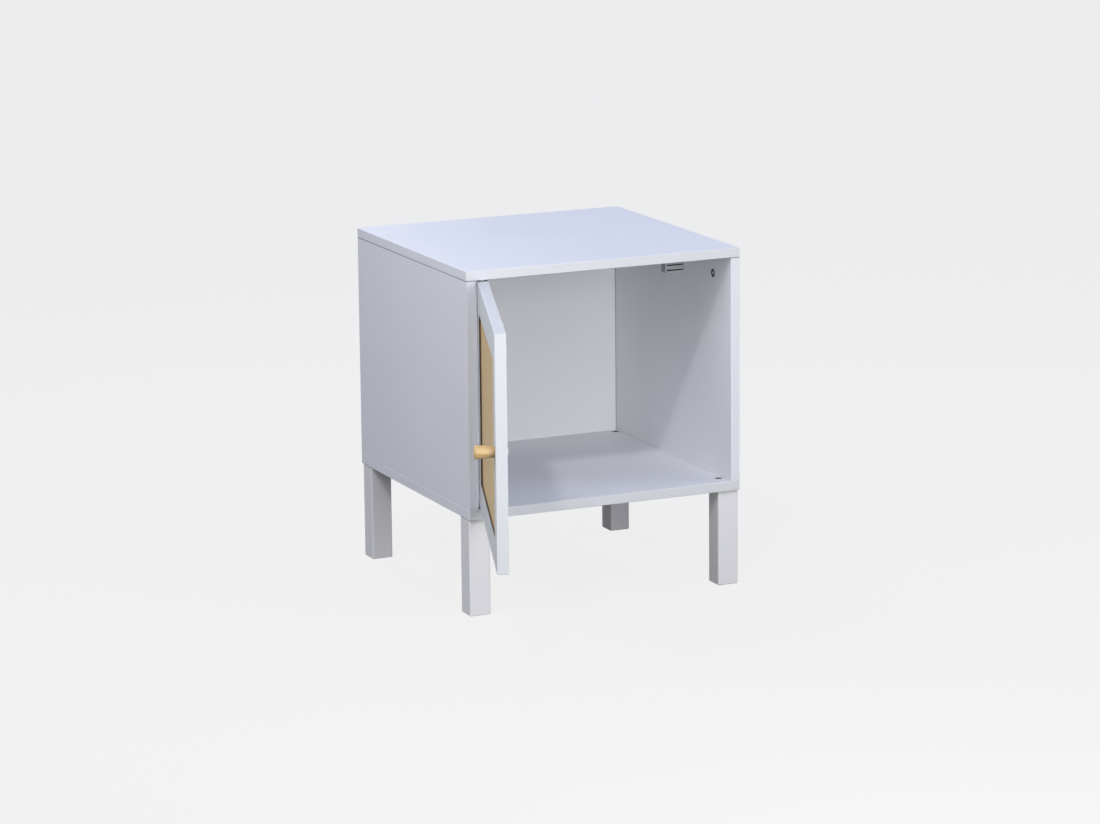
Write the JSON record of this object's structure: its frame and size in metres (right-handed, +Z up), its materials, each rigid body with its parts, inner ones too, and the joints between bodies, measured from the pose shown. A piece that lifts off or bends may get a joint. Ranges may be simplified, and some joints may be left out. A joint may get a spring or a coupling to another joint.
{
  "type": "storage side table with door",
  "caption": "White side table on four square legs: an open box with a woven cane door on pivot pins, turned open at its left side, and a round wooden knob.",
  "frame": {"origin": "on the floor, midway between the four legs and under the centre of the top", "axes": "+X to the right seen from the front, +Y to the back, +Z up; the door's side is the front and faces -Y"},
  "size_m": [0.5254, 0.7211, 0.467],
  "materials": {
    "white_lacquer": "smooth satin white lacquer on board",
    "cane": "natural woven cane, matt",
    "pale_wood": "clear satin varnish on pale wood",
    "beech": "raw turned beech",
    "grey_plastic": "moulded grey plastic, satin",
    "zinc_steel": "bright zinc plate",
    "black_steel": "black oxide",
    "zinc_casting": "dull dark zinc casting",
    "ferrite": "dull black ferrite"
  },
  "bodies": {
    "cabinet": {"top_panel": "white_lacquer", "bottom_panel": "white_lacquer", "left_side_panel": "white_lacquer", "right_side_panel": "white_lacquer", "back_panel": "white_lacquer", "leg_front_left": "white_lacquer", "leg_front_right": "white_lacquer", "leg_back_left": "white_lacquer", "leg_back_right": "white_lacquer", "leg_inserts": "zinc_steel", "leg_bolts": "black_steel", "cam_locks": "zinc_casting", "cam_bolts": "zinc_steel", "top_dowels": "beech", "bottom_dowels": "beech", "side_screws": "zinc_steel", "catch_housing": "grey_plastic", "catch_magnet": "ferrite", "catch_poles": "black_steel", "catch_screws": "zinc_steel", "upper_pivot_bush": "grey_plastic", "lower_pivot_bush": "grey_plastic"},
    "door": {"door_hinge_stile": "white_lacquer", "door_free_stile": "white_lacquer", "door_top_rail": "white_lacquer", "door_bottom_rail": "white_lacquer", "frame_dowels": "beech", "cane_panel": "cane", "door_back_board": "white_lacquer", "infill_beads": "white_lacquer", "upper_pivot_pin": "zinc_steel", "lower_pivot_pin": "zinc_steel", "knob": "pale_wood", "knob_screw": "zinc_steel", "strike_plate": "zinc_steel", "strike_screws": "zinc_steel"}
  },
  "joints": [
    {"name": "door_hinge", "type": "hinge", "parent": "cabinet", "child": "door", "pos_m": [-0.176, -0.1865, 0.147], "axis": [0, 0, 1], "range_deg": [-12, 110]}
  ]
}
